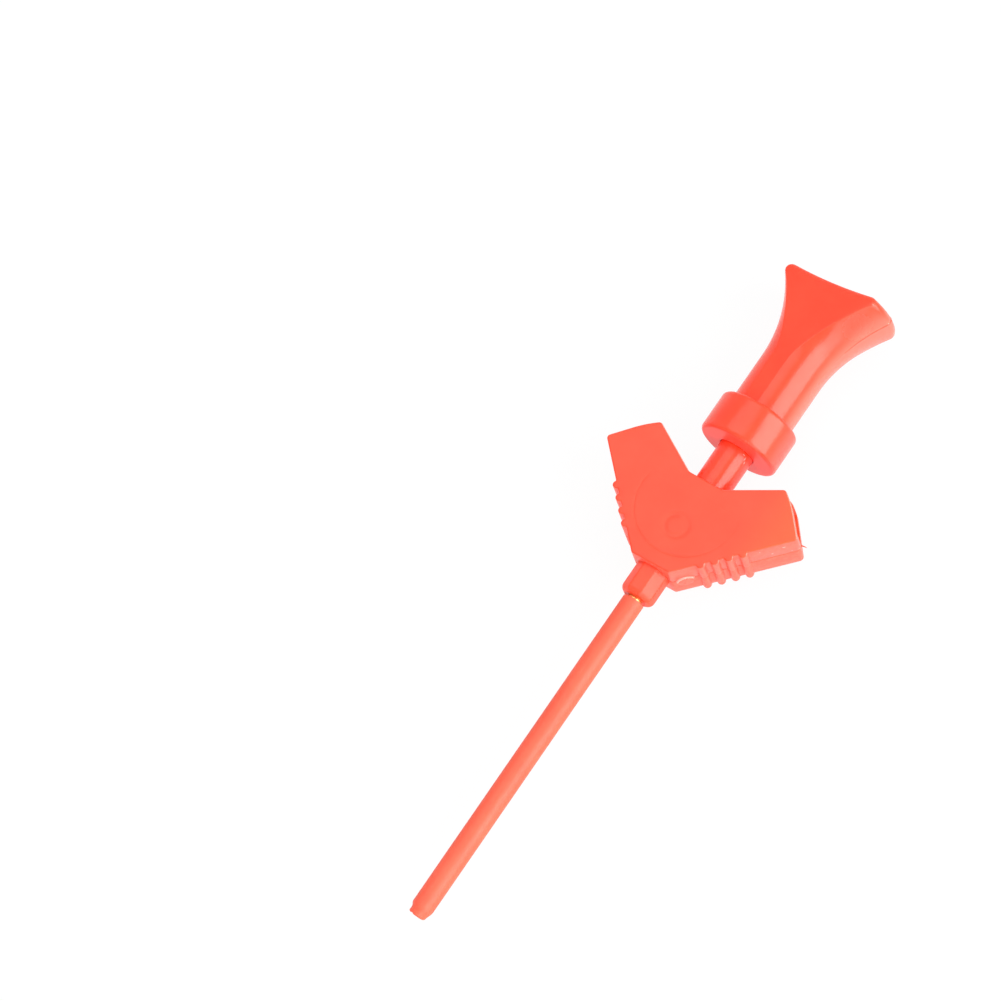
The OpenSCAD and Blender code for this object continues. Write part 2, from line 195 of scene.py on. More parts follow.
def object_of(name, data):
    """Object of a mesh, a lamp or a camera, linked to the scene."""
    ob = bpy.data.objects.new(name, data)
    bpy.context.scene.collection.objects.link(ob)
    return ob


def skin_object(name, verts, faces):
    """Object made of millimetre points, with a mesh of the same name."""
    return object_of(name, mesh_of(name, verts, faces))


def finish_piece(ob, body, mat, nodes=(), sharp=38):
    """Shades a piece, gives it its material, hangs it on the body it rides on and hides the CAD nodes it
    stands for.
    """
    ob.data.polygons.foreach_set("use_smooth", [True] * len(ob.data.polygons))
    ob.data.set_sharp_from_angle(angle=math.radians(sharp))
    ob.data.materials.clear()
    ob.data.materials.append(mat)
    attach(ob, body)
    if nodes:
        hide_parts(*nodes)


def cut(ob, cutters):
    """Takes closed cutter meshes away from an object and deletes them."""
    for cutter in cutters:
        mod = ob.modifiers.new("cut", "BOOLEAN")
        mod.operation, mod.solver, mod.object = "DIFFERENCE", "EXACT", cutter
    graph = bpy.context.evaluated_depsgraph_get()
    mesh = bpy.data.meshes.new_from_object(ob.evaluated_get(graph))
    ob.modifiers.clear()
    ob.data = mesh
    for cutter in cutters:
        bpy.data.objects.remove(cutter)


def turned(points):
    """Turns (x, y, z) points with the button about the axis."""
    c, s = math.cos(TWIST), math.sin(TWIST)
    return [(x, c * y - s * z, s * y + c * z) for x, y, z in points]


def smooth_step(t):
    """Goes smoothly from 0 at t = 0 to 1 at t = 1."""
    t = min(max(t, 0.0), 1.0)
    return t * t * (3 - 2 * t)


# Materials

# Noise scales per metre
BLOTCH_SCALE, WAVE_SCALE, TARNISH_SCALE = 420, 700, 900
SPECKLE_SCALE, SCRATCH_SCALE, GRAIN_SCALE, LINE_SCALE = 2600, 5200, 9000, 12000

# Heights of the relief, in metres
WAVE_RELIEF, SCRATCH_RELIEF, GRAIN_RELIEF = 0.00005, 0.00007, 0.000004

# Upright part of the surface normal on a face and on a side wall, between which the painted sheen comes in
FACE_UPRIGHT, WALL_UPRIGHT = 0.6, 0.2

# Stations across the body where the right wing's painted glow starts and is full
GLOW_START, GLOW_FULL = -3.5, -7.5


def material(name):
    """New node material with its nodes and links."""
    mat = bpy.data.materials.new(name)
    mat.use_nodes = True
    return mat, mat.node_tree.nodes, mat.node_tree.links


def noise_node(nodes, links, coords, scale, detail=3.0, rough=0.55):
    """Noise in the object's own coordinates."""
    tex = nodes.new("ShaderNodeTexNoise")
    tex.inputs["Scale"].default_value = scale
    tex.inputs["Detail"].default_value = detail
    tex.inputs["Roughness"].default_value = rough
    links.new(coords.outputs["Object"], tex.inputs["Vector"])
    return tex


def ramp_node(nodes, links, source, low, high, start=0.3, end=0.7):
    """Colour that goes from low to high with a texture."""
    ramp = nodes.new("ShaderNodeValToRGB")
    first, last = ramp.color_ramp.elements
    first.position, first.color = start, low
    last.position, last.color = end, high
    links.new(source.outputs["Fac"], ramp.inputs["Fac"])
    return ramp


def range_node(nodes, links, source, low, high):
    """Value that goes from low to high with a texture."""
    node = nodes.new("ShaderNodeMapRange")
    node.inputs["To Min"].default_value, node.inputs["To Max"].default_value = low, high
    links.new(source.outputs["Fac"], node.inputs["Value"])
    return node


def bump_node(nodes, links, source, distance, strength, below=None):
    """Fine relief from a texture, on top of another relief if there is one."""
    node = nodes.new("ShaderNodeBump")
    node.inputs["Distance"].default_value = distance
    node.inputs["Strength"].default_value = strength
    links.new(source.outputs["Fac"], node.inputs["Height"])
    if below:
        links.new(below.outputs["Normal"], node.inputs["Normal"])
    return node


def colour_node(nodes, colour):
    """Output with one even colour."""
    node = nodes.new("ShaderNodeRGB")
    node.outputs["Color"].default_value = colour
    return node.outputs["Color"]


def parts_node(nodes, links, vector):
    """Outputs with the X, Y and Z parts of a vector."""
    node = nodes.new("ShaderNodeSeparateXYZ")
    links.new(vector, node.inputs["Vector"])
    return node.outputs


def mix_node(nodes, links, factor, first, second):
    """Colour between two colour outputs."""
    node = nodes.new("ShaderNodeMix")
    node.data_type = "RGBA"
    links.new(factor, node.inputs["Factor"])
    links.new(first, node.inputs["A"])
    links.new(second, node.inputs["B"])
    return node.outputs["Result"]


def math_node(nodes, links, operation, first, second):
    """Value of an operation on one output and another output or a number."""
    node = nodes.new("ShaderNodeMath")
    node.operation = operation
    links.new(first, node.inputs[0])
    if isinstance(second, float):
        node.inputs[1].default_value = second
    else:
        links.new(second, node.inputs[1])
    return node.outputs["Value"]


def span_node(nodes, links, source, start, end):
    """0 where a value is at start, 1 where it is at end, smooth between."""
    node = nodes.new("ShaderNodeMapRange")
    node.interpolation_type = "SMOOTHSTEP"
    node.inputs["From Min"].default_value, node.inputs["From Max"].default_value = start, end
    links.new(source, node.inputs["Value"])
    return node.outputs["Result"]


def plastic(name, low, high, rough, grain, waves,
            painted_wall_sheen=None, painted_edge_highlight=None, painted_glow=None, painted_side_sheen=None, dull=None, scuff=None):
    """Moulded plastic: blotchy colour, uneven gloss, fine grain and slow surface waves.

    painted_wall_sheen is the pale colour painted on the body's side walls as a painted reflection,
    painted_edge_highlight the painted highlight on the wing ends' rounded edges, painted_glow the orange
    painted glow of light through the right wing's end and painted_side_sheen the paler colour painted on the
    sides of a round piece as a painted reflection. dull is the roughness added where the surface looks
    towards the nose.
    scuff is a place and a radius in millimetres where it is worn.
    """
    mat, nodes, links = material(name)
    shader = nodes["Principled BSDF"]
    coords = nodes.new("ShaderNodeTexCoord")
    blotch = noise_node(nodes, links, coords, BLOTCH_SCALE, 4)
    fine = noise_node(nodes, links, coords, GRAIN_SCALE, 3)
    wave = noise_node(nodes, links, coords, WAVE_SCALE, 2)
    normal = parts_node(nodes, links, coords.outputs["Normal"])
    upright = math_node(nodes, links, "ABSOLUTE", normal["Z"], 0.0)
    walls = span_node(nodes, links, upright, FACE_UPRIGHT, WALL_UPRIGHT)
    colour = ramp_node(nodes, links, blotch, low, high).outputs["Color"]
    rough_value = range_node(nodes, links, wave, *rough).outputs["Result"]
    # Painted glow: an orange tint on the right wing's end, standing in for light shining through its thin
    # plastic
    if painted_glow:
        place = parts_node(nodes, links, coords.outputs["Object"])
        share = span_node(nodes, links, place["Y"], GLOW_START * MM, GLOW_FULL * MM)
        colour = mix_node(nodes, links, share, colour, colour_node(nodes, painted_glow))
    # Painted sheen: a paler colour where the surface faces sideways, standing in for reflected light on round
    # pieces
    if painted_side_sheen:
        colour = mix_node(nodes, links, walls, colour, colour_node(nodes, painted_side_sheen))
    # Painted sheen: a pale speckled colour on the side walls, standing in for reflected light
    if painted_wall_sheen:
        speckle = noise_node(nodes, links, coords, SPECKLE_SCALE, 4, 0.7)
        paler = (1.0, painted_wall_sheen[1] * 1.5, painted_wall_sheen[2] * 1.7, 1)
        pale = ramp_node(nodes, links, speckle, painted_wall_sheen, paler, 0.45, 0.8)
        colour = mix_node(nodes, links, walls, colour, pale.outputs["Color"])
    # Painted highlight: a pale colour on the rounded edges towards the wing ends
    if painted_edge_highlight:
        sideways = math_node(nodes, links, "ABSOLUTE", normal["Y"], 0.0)
        endwards = math_node(nodes, links, "MULTIPLY", normal["X"], sideways)
        rounded = math_node(nodes, links, "MULTIPLY", span_node(nodes, links, endwards, 0.06, 0.16),
                            span_node(nodes, links, upright, 0.15, 0.45))
        colour = mix_node(nodes, links, rounded, colour, colour_node(nodes, painted_edge_highlight))
    if dull:
        noseward = span_node(nodes, links, normal["X"], -0.5, -0.9)
        added = math_node(nodes, links, "MULTIPLY", noseward, dull)
        rough_value = math_node(nodes, links, "ADD", rough_value, added)
    slow = bump_node(nodes, links, wave, WAVE_RELIEF, waves)
    if scuff:
        (x, y, z), radius = scuff
        away = nodes.new("ShaderNodeVectorMath")
        away.operation = "DISTANCE"
        away.inputs[1].default_value = (x * MM, y * MM, z * MM)
        links.new(coords.outputs["Object"], away.inputs[0])
        worn = span_node(nodes, links, away.outputs["Value"], radius * MM, 0.3 * radius * MM)
        scratch = noise_node(nodes, links, coords, SCRATCH_SCALE, 5, 0.7)
        marks = math_node(nodes, links, "MULTIPLY", worn, scratch.outputs["Fac"])
        slow = bump_node(nodes, links, scratch, SCRATCH_RELIEF, 0.0, slow)
        links.new(math_node(nodes, links, "MULTIPLY", worn, 0.9), slow.inputs["Strength"])
        added = math_node(nodes, links, "MULTIPLY", marks, 0.2)
        rough_value = math_node(nodes, links, "ADD", rough_value, added)
    links.new(colour, shader.inputs["Base Color"])
    links.new(rough_value, shader.inputs["Roughness"])
    grainy = bump_node(nodes, links, fine, GRAIN_RELIEF, grain, slow)
    links.new(grainy.outputs["Normal"], shader.inputs["Normal"])
    shader.inputs["Subsurface Weight"].default_value = 0.2
    shader.inputs["Subsurface Radius"].default_value = (1.0, 0.2, 0.1)
    shader.inputs["Subsurface Scale"].default_value = 0.0005
    return mat


def metal(name, low, high, rough, stretch):
    """Plated or drawn metal with fine lines along the axis."""
    mat, nodes, links = material(name)
    shader = nodes["Principled BSDF"]
    coords = nodes.new("ShaderNodeTexCoord")
    scale = nodes.new("ShaderNodeMapping")
    scale.inputs["Scale"].default_value = (stretch, 1, 1)
    links.new(coords.outputs["Object"], scale.inputs["Vector"])
    lines = nodes.new("ShaderNodeTexNoise")
    lines.inputs["Scale"].default_value = LINE_SCALE
    lines.inputs["Detail"].default_value = 2
    links.new(scale.outputs["Vector"], lines.inputs["Vector"])
    tint = noise_node(nodes, links, coords, TARNISH_SCALE)
    links.new(ramp_node(nodes, links, tint, low, high).outputs["Color"], shader.inputs["Base Color"])
    links.new(range_node(nodes, links, lines, *rough).outputs["Result"], shader.inputs["Roughness"])
    bump = bump_node(nodes, links, lines, GRAIN_RELIEF, 0.35)
    links.new(bump.outputs["Normal"], shader.inputs["Normal"])
    shader.inputs["Metallic"].default_value = 1.0
    return mat


RED_BODY = plastic("red_plastic", (0.96, 0.056, 0.016, 1), (1.0, 0.068, 0.022, 1), (0.33, 0.42), 0.35, 0.25)
# The shell's side walls carry a painted sheen, its wing-end edges a painted highlight and its right wing a
# painted glow
RED_SHELL = plastic("red_shell", (0.96, 0.055, 0.016, 1), (1.0, 0.065, 0.022, 1), (0.33, 0.42), 0.35, 0.25,
                    painted_wall_sheen=(0.99, 0.108, 0.066, 1),
                    painted_edge_highlight=(1.0, 0.26, 0.20, 1),
                    painted_glow=(0.99, 0.088, 0.020, 1))
# Colour of the worn and torn lumps, made pale as a painted glint on them
RED_SCUFF_GLINT = plastic("red_scuff_glint", (0.98, 0.26, 0.20, 1), (1.0, 0.48, 0.42, 1), (0.25, 0.45), 0.4, 0.3)
# The sides of the stem and collar carry a painted sheen
RED_GLOSS = plastic("red_gloss", (0.96, 0.050, 0.014, 1), (1.0, 0.059, 0.019, 1), (0.17, 0.24), 0.12, 0.10,
                    painted_side_sheen=(1.0, 0.095, 0.065, 1),
                    dull=0.2)
# The sides of the button carry a painted sheen
RED_BUTTON = plastic("red_button", (0.96, 0.050, 0.014, 1), (1.0, 0.059, 0.019, 1), (0.18, 0.26), 0.12, 0.10,
                     painted_side_sheen=(1.0, 0.150, 0.102, 1),
                     scuff=((50.8, -2.9, 1.9), 1.6))
RED_TUBING = plastic("red_tubing", (0.92, 0.098, 0.046, 1), (0.98, 0.115, 0.055, 1), (0.44, 0.54), 0.55, 0.35)
GOLD = metal("gold_plate", (0.83, 0.56, 0.18, 1), (0.90, 0.66, 0.26, 1), (0.16, 0.30), 0.05)
STEEL = metal("spring_steel", (0.62, 0.63, 0.65, 1), (0.72, 0.73, 0.75, 1), (0.22, 0.38), 0.05)


# Body shells

def corner_arc(a, p, b, r, steps=7):
    """Points that round corner p between its neighbours a and b."""
    a, p, b = Vector(a), Vector(p), Vector(b)
    u, v = (a - p).normalized(), (b - p).normalized()
    half = u.angle(v) / 2
    centre = p + (u + v).normalized() * r / math.sin(half)
    start, end = p + u * r / math.tan(half) - centre, p + v * r / math.tan(half) - centre
    sweep = start.angle_signed(end)
    points = []
    for i in range(steps + 1):
        turn = Matrix.Rotation(-sweep * i / steps, 2)
        points.append(centre + turn @ start)
    return points


def rib_height(s):
    """Height of the grip ribs at distance s from the nose corner along the wing's outer wall."""
    i = round((s - RIB_START) / RIB_PITCH)
    t = (s - RIB_START - min(max(i, 0), RIB_COUNT - 1) * RIB_PITCH) / RIB_HALF
    return RIB_H * (1 - t * t) ** RIB_ROUND if abs(t) < 1 else 0.0


def wing_axes():
    """Directions of the left wing in the (x, y) plane: along it, and across it towards the axis."""
    along = Vector((math.cos(WING_ANGLE), math.sin(WING_ANGLE)))
    return along, Vector((along.y, -along.x))


def body_outline(crown, place, corner_r, top_r):
    """Closed outline of the body in the (x, y) plane, ribs included, its wing ends crowned."""
    along, inwards = wing_axes()
    corner = Vector(WING_CORNER)
    top = corner + WING_END_W * inwards
    peak = corner.lerp(top, place) + crown * along
    reach = WING_END_W * place, WING_END_W * (1 - place)
    turn = math.atan(crown / reach[0]) + math.atan(crown / reach[1])
    rounded_share = 0.7
    crown_r = rounded_share * min(reach) / math.tan(turn / 2)
    nose = Vector((NOSE_X, NOSE_HALF))
    notch = Vector((NOTCH_X, NOTCH_HALF))

    def across(v):
        """The same point on the other side of the axis."""
        return Vector((v.x, -v.y))

    half = corner_arc(across(nose), nose, corner, NOSE_R)
    length = (corner - nose).length
    margin, steps = 0.4, 120
    first, last = RIB_START - margin, RIB_START + (RIB_COUNT - 1) * RIB_PITCH + margin
    for i in range(steps + 1):
        s = first + (last - first) * i / steps
        half.append(nose + along * s - inwards * rib_height(s))
    half += corner_arc(nose + along * (length - 1), corner, peak, corner_r)
    half += corner_arc(corner, peak, top, crown_r, 10)
    half += corner_arc(peak, top, notch, top_r)
    half += corner_arc(top, notch, across(notch), NOTCH_R)
    return half + [across(v) for v in reversed(half)]


def inset_outline(points, distance):
    """Outline moved inwards along its vertex normals, only a little on the ribs."""
    moved = []
    count = len(points)
    wall_depth, rib_loss = 0.05, 0.7
    c, d = math.cos(WING_ANGLE), math.sin(WING_ANGLE)
    for i, p in enumerate(points):
        tangent = points[(i + 1) % count] - points[i - 1]
        normal = Vector((tangent.y, -tangent.x)).normalized()
        x, y = p.x - NOSE_X, abs(p.y) - NOSE_HALF
        on_wall = c * y - d * x > -wall_depth
        share = 1 - rib_loss * rib_height(c * x + d * y) / RIB_H if on_wall else 1.0
        moved.append(p + normal * distance * share)
    return moved


def mark_distances(x, y):
    """Distances inside the mark's arc and inside its straight edge, negative outside."""
    return MARK_R - math.hypot(x - NOSE_X - MARK_REACH, y), NOSE_X + MARK_CHORD - x


def bump_at(d, width):
    """1 at d = 0, falling to nothing a few widths away."""
    return math.exp(-(d / width) ** 2)


def face_height(x, y):
    """Small heights of the front face: the mark's scored edge, the sink ring, a dimple and slow waves."""
    arc, chord = mark_distances(x, y)
    turn = math.atan2(y, x - NOSE_X - MARK_REACH)
    worn = 0.25 + 0.75 * smooth_step(0.4 + math.cos(turn - SCORE_TURN))
    height = -MARK_DEPTH * smooth_step((min(arc, chord) + MARK_BLEND / 2) / MARK_BLEND)
    height -= SCORE_DEPTH * worn * bump_at(arc, SCORE_W) * smooth_step(chord / 0.5)
    ring = math.hypot(x - SINK[0], y - SINK[1])
    leaning = 0.85 + 0.15 * math.cos(math.atan2(y - SINK[1], x - SINK[0]) - SINK_TURN)
    height -= SINK_DEPTH * leaning * bump_at(ring - SINK_R, SINK_W)
    dimple = math.hypot(x - DIMPLE[0], y - DIMPLE[1])
    height -= DIMPLE_DEPTH * bump_at(dimple, DIMPLE_W)
    swell = noise.noise(Vector((x * SWELL_SCALE, y * SWELL_SCALE, 3.0)))
    return height + SWELL_H * swell * smooth_step(min(arc, chord) / 1.5)


def flat_points(ring):
    """The (x, y) places of a ring of points."""
    return [Vector((x, y)) for x, y, _ in ring]


def flat_fill(outline, extra, height):
    """Triangles inside an outline, through extra points, at z = height(x, y)."""
    count = len(outline)
    points = list(outline) + [Vector(p) for p in extra]
    edges = [(i, (i + 1) % count) for i in range(count)]
    verts, _, faces, *_ = delaunay_2d_cdt(points, edges, [], 1, 1e-5)
    return [(v.x, v.y, height(v.x, v.y)) for v in verts], [list(f) for f in faces]


def face_points(outline):
    """Points spread over the front face, close together along the mark's edge and round the sink ring."""
    centre = NOSE_X + MARK_REACH
    arc_steps, chord_steps = 110, 40
    ring_count, first_ring, ring_gap = 18, 0.15, 0.075
    sink_room, mark_room, step = 1.55, 0.2, 0.2
    extra = []
    for d in (-0.12, -0.07, -0.035, 0.0, 0.035, 0.07, 0.12):
        r = MARK_R - d
        limit = NOSE_X + MARK_CHORD - d
        start = math.acos((limit - centre) / r)
        for i in range(arc_steps + 1):
            a = start + (2 * math.pi - 2 * start) * i / arc_steps
            extra.append((centre + r * math.cos(a), r * math.sin(a)))
        span = r * math.sin(start)
        extra += [(limit, span * (2 * i / chord_steps - 1)) for i in range(1, chord_steps)]
    for i in range(ring_count):
        r = first_ring + ring_gap * i
        count = 12 + 5 * i
        turns = [2 * math.pi * (k + 0.5 * (i % 2)) / count for k in range(count)]
        extra += [(SINK[0] + r * math.cos(a), SINK[1] + r * math.sin(a)) for a in turns]
    for i in range(60):
        for j in range(-40, 41):
            x, y = NOSE_X + step * (i + 0.5 * (j % 2)), step * j
            off_sink = math.hypot(x - SINK[0], y - SINK[1]) > sink_room
            off_mark = abs(min(mark_distances(x, y))) > mark_room
            if off_sink and off_mark and inside(outline, x, y):
                extra.append((x, y))
    return extra


def inside(outline, x, y):
    """True where a point lies inside an outline, and not too close to it."""
    hit = False
    closest_squared = 0.015
    for i in range(len(outline)):
        a, b = outline[i - 1], outline[i]
        if (a.y > y) != (b.y > y) and x < a.x + (b.x - a.x) * (y - a.y) / (b.y - a.y):
            hit = not hit
        if (a.x - x) ** 2 + (a.y - y) ** 2 < closest_squared:
            return False
    return hit


def shell_mesh(name, side):
    """One shell without its pockets: side 1 is the front one, -1 the rear one."""
    front = side > 0
    outline = body_outline(**(FRONT_END if front else REAR_END))
    edge = FRONT_EDGE_R if front else REAR_EDGE_R
    draft, edge_steps = 0.006, 5
    levels = [(0.0, 0.045), (0.03, 0.016), (0.055, 0.004), (BODY_T - edge, draft)]
    for i in range(1, edge_steps + 1):
        a = math.radians(90 * i / edge_steps)
        levels.append((BODY_T - edge * (1 - math.sin(a)), draft + edge * (1 - math.cos(a))))
    rings = []
    for z, inset in levels:
        rings.append([(p.x, p.y, side * z) for p in inset_outline(outline, inset)])
    verts, faces = loft(rings, caps=(False, False))
    parting, top = rings[0], rings[-1]
    top_extra = face_points(flat_points(top)) if front else []

    def parting_height(x, y):
        """The parting plane is flat."""
        return 0.0

    def top_height(x, y):
        """The front face has small forms on it, the rear face is flat."""
        return BODY_T + face_height(x, y) if front else -BODY_T

    fills = [
        flat_fill(flat_points(parting), [], parting_height),
        flat_fill(flat_points(top), top_extra, top_height),
    ]
    for points, triangles in fills:
        base = len(verts)
        verts += points
        faces += [[base + v for v in tri] for tri in triangles]
    return skin_object(name, verts, faces)


def on_wing(side, points):
    """Points given in a wing's frame (inwards from its end wall, across, up) in the body's frame."""
    along, inwards = wing_axes()
    end = Vector(WING_CORNER) + WING_END_W / 2 * inwards
    placed = []
    for s, across, z in points:
        p = end - along * s + inwards * across
        placed.append((p.x, side * p.y, z))
    return placed


def rectangle(s, w, t):
    """Corners of a section of a wing's socket, s inwards from the end wall."""
    return [(s, -w / 2, -t / 2), (s, w / 2, -t / 2), (s, w / 2, t / 2), (s, -w / 2, t / 2)]


def body_cutters():
    """Closed meshes of the pockets that the shells hold their pieces in."""
    past, eye_r = 0.5, 0.84
    ferrule_r, ferrule_key_r, ferrule_end = FERRULE_SEAT_R + FIT, FERRULE_KEY_R + FIT, NOSE_X + 1.02
    ferrule_key = (FERRULE_KEY[0] - FIT, FERRULE_KEY[1] + FIT)
    stem_r, stem_key_r, stem_end = STEM_SEAT_R + FIT, STEM_KEY_R + FIT, NOTCH_X - 2.22
    stem_key = (STEM_KEY[0] - FIT, STEM_KEY[1] + FIT)
    eye = (NOSE_X + 1.28, NOSE_X + 4.12)
    profile = stepped((NOSE_X - past, ferrule_key[0], ferrule_r), (*ferrule_key, ferrule_key_r),
                      (ferrule_key[1], ferrule_end, ferrule_r), (ferrule_end, eye[0], BRASS_FIT_R),
                      (*eye, eye_r), (eye[1], stem_end, BRASS_FIT_R), (stem_end, stem_key[0], stem_r),
                      (*stem_key, stem_key_r), (stem_key[1], NOTCH_X + past, stem_r))
    cutters = [skin_object("axis_cutter", *loft([circle(x, r, 48) for x, r in profile]))]
    for side in (1, -1):
        shape = [(-0.6, 2.4, 1.96), (4.2, 2.2, 1.9), (4.2, 0.68, 0.68), (6.02, 0.68, 0.68)]
        rings = [on_wing(side, rectangle(*section)) for section in shape]
        cutters.append(skin_object("socket_cutter", *loft(rings)))
    return cutters


def arm_cutters():
    """Pockets of the contact plate's arms, in the rear shell alone."""
    start, end, half, low, high = 4.48, 8.86, 0.52, -0.61, 0.4
    cutters = []
    for side in (1, -1):
        rings = [on_wing(side, [(s, -half, low), (s, half, low), (s, half, high), (s, -half, high)])
                 for s in (start, end)]
        cutters.append(skin_object("arm_cutter", *loft(rings)))
    return cutters


front_shell = shell_mesh("front_shell_moulding", 1)
cut(front_shell, body_cutters())
finish_piece(front_shell, "clip_body", RED_SHELL, ["front_shell"])
rear_shell = shell_mesh("rear_shell_moulding", -1)
cut(rear_shell, body_cutters() + arm_cutters())
finish_piece(rear_shell, "clip_body", RED_SHELL, ["rear_shell"])


# Insulating tube, shrunk unevenly at its mouth and cut on the slant

TUBE_R = node_box("insulating_tube")[1][1]

# Radius along the mouth's two sides, up to the station past which the tube is plain
PLAIN_X = 2.0
LIP_SIDE = [(0.0, 0.55), (0.02, 0.60), (0.07, 0.645), (0.13, 0.65), (0.28, 0.63), (0.42, 0.65),
            (0.5, 0.675), (0.58, 0.73), (0.65, TUBE_R - 0.025), (0.74, TUBE_R), (PLAIN_X, TUBE_R)]
TAPER_SIDE = [(0.0, 0.52), (0.02, 0.565), (0.1, 0.60), (0.3, 0.65), (0.45, 0.705), (0.6, 0.76),
              (0.72, TUBE_R - 0.015), (0.85, TUBE_R), (PLAIN_X, TUBE_R)]


def along_list(points, x):
    """Value at x on a line through (x, value) points."""
    for (x0, v0), (x1, v1) in zip(points, points[1:]):
        if x <= x1:
            return v0 + (v1 - v0) * (x - x0) / (x1 - x0)
    return points[-1][1]


def tube_mesh():
    """Skin of the tube, outside and inside, from its ragged mouth to its torn upper end."""
    sides = 96
    lip, near, bite_turn = math.radians(22), math.radians(112), math.radians(64)
    slant_h, bite_h, bite_w, ragged_h, torn_h = 0.168, 0.07, 0.16, 0.015, 0.05
    lumpy_h, wavy_h, plain_steps = 0.012, 0.003, 22
    stations = [0.0, 0.02, 0.06, 0.12, 0.2, 0.3, 0.4, 0.5, 0.56, 0.6, 0.64, 0.67, 0.7, 0.74, 0.8, 0.87, 0.95]
    stations += [1.1, 1.3, 1.6, PLAIN_X]
    stations += [PLAIN_X + (TUBE_END - 0.05 - PLAIN_X) * i / plain_steps for i in range(1, plain_steps + 1)]
    outer = [(x, None) for x in stations] + [(TUBE_END - 0.01, TUBE_R - 0.04), (TUBE_END, TUBE_R - 0.09)]
    inner = [(TUBE_END, BRASS_FIT_R + 0.015), (TUBE_END - 0.02, BRASS_FIT_R), (0.9, BRASS_FIT_R)]
    inner += [(0.5, 0.52), (0.1, 0.45), (0.02, 0.47)]
    rings = []
    for x, r in outer + inner:
        ring = []
        for k in range(sides):
            a = 2 * math.pi * k / sides
            share = ((1 + math.cos(a - lip)) / 2) ** 1.5
            radius = r or share * along_list(LIP_SIDE, x) + (1 - share) * along_list(TAPER_SIDE, x)
            around = Vector((math.cos(a), math.sin(a), x * 0.35))
            if r is None:
                radius += lumpy_h * noise.noise(around * 2.1) * smooth_step(1 - x / 0.9)
                radius += wavy_h * (noise.noise(around) - 1) * smooth_step(x)
            slant = slant_h * (1 - math.cos(a - near)) * smooth_step((PLAIN_X - x) / 1.2)
            bite = bite_h * bump_at(a - bite_turn, bite_w)
            ragged = (bite + ragged_h * (1 + noise.noise(around * 3.3))) * smooth_step(1 - x / 0.2)
            torn = torn_h * noise.noise(around * 2.6) * smooth_step((x - TUBE_END + 0.06) / 0.05)
            ring.append((x + slant + ragged - abs(torn), radius * math.cos(a), radius * math.sin(a)))
        rings.append(ring)
    return loft(rings, closed=True)


insulating_tube = skin_object("insulating_sleeve", *tube_mesh())
finish_piece(insulating_tube, "clip_body", RED_TUBING, ["insulating_tube"])


# Nose ferrule: a softened octagon with a rounded free end

def octagon(apothem, corner_r, steps=6):
    """Points of an octagon with rounded corners, a flat towards +Z, as (radius, angle)."""
    points = []
    centre = (apothem - corner_r) / math.cos(math.radians(22.5))
    for k in range(8):
        mid = math.radians(45 * k + 22.5)
        for i in range(steps + 1):
            a = math.radians(45 * k + 45 * i / steps)
            y = centre * math.cos(mid) + corner_r * math.cos(a)
            z = centre * math.sin(mid) + corner_r * math.sin(a)
            points.append((math.hypot(y, z), math.atan2(z, y)))
    return points


def ferrule_mesh():
    """Octagon outside, with its key and bore turned round inside the body."""
    section = octagon(apothem=1.2, corner_r=0.28)
    mouth, soft, soft_steps = 0.83, 0.5, 9
    entry = NOSE_X + 0.03

    def blend(x, t, r):
        """Ring between the octagon (t = 0) and a circle of radius r (t = 1)."""
        ring = []
        for p, a in section:
            reach = p * (1 - t) + r * t
            ring.append((x, reach * math.cos(a), reach * math.sin(a)))
        return ring

    turns = [math.radians(90 * i / soft_steps) for i in range(soft_steps, -1, -1)]
    rings = [blend(FERRULE_X + soft * (1 - math.sin(a)), 1 - math.cos(a), mouth) for a in turns]
    rings.append(blend(entry, 0.0, mouth))
    key = stepped((entry, FERRULE_KEY[0], FERRULE_SEAT_R), (*FERRULE_KEY, FERRULE_KEY_R),
                  (FERRULE_KEY[1], FERRULE_END, FERRULE_SEAT_R))
    bore = [(FERRULE_END, BRASS_FIT_R), (FERRULE_X + 0.04, BRASS_FIT_R)]
    bore += [(FERRULE_X + 0.035, 0.79), (FERRULE_X + 0.01, 0.815)]
    rings += [blend(x, 1.0, r) for x, r in key + bore]
    return loft(rings, closed=True)


nose_ferrule = skin_object("ferrule_moulding", *ferrule_mesh())
finish_piece(nose_ferrule, "clip_body", RED_BODY, ["nose_ferrule"], 30)


# Guide stem

STEM_R = 1.32


def stem_mesh():
    """Stem with its key in the body, its stop flange and the spigot that the spring stands round."""
    stop = STEM_END - 1.8
    bore_r, spigot_r, spigot_soft = 0.4, 0.8, 0.05
    flange_r, flange_t, flange_soft = 1.75, 0.55, 0.04
    profile = [(STEM_X, bore_r)]
    profile += stepped((STEM_X, STEM_KEY[0], STEM_SEAT_R), (*STEM_KEY, STEM_KEY_R),
                       (STEM_KEY[1], NOTCH_X, STEM_SEAT_R))
    profile += [(NOTCH_X, 1.24), (NOTCH_X + 0.07, 1.26), (NOTCH_X + 0.1, STEM_R), (stop - flange_t, STEM_R)]
    profile += [(stop - flange_t, flange_r - flange_soft), (stop - flange_t + flange_soft, flange_r),
                (stop - flange_soft, flange_r), (stop, flange_r - flange_soft)]
    profile += [(stop, spigot_r), (STEM_END - spigot_soft, spigot_r), (STEM_END, spigot_r - spigot_soft),
                (STEM_END, bore_r)]
    return loft([circle(x, r, 96) for x, r in profile], closed=True)


guide_stem = skin_object("stem_moulding", *stem_mesh())
finish_piece(guide_stem, "clip_body", RED_GLOSS, ["guide_stem"], 30)


# Collar

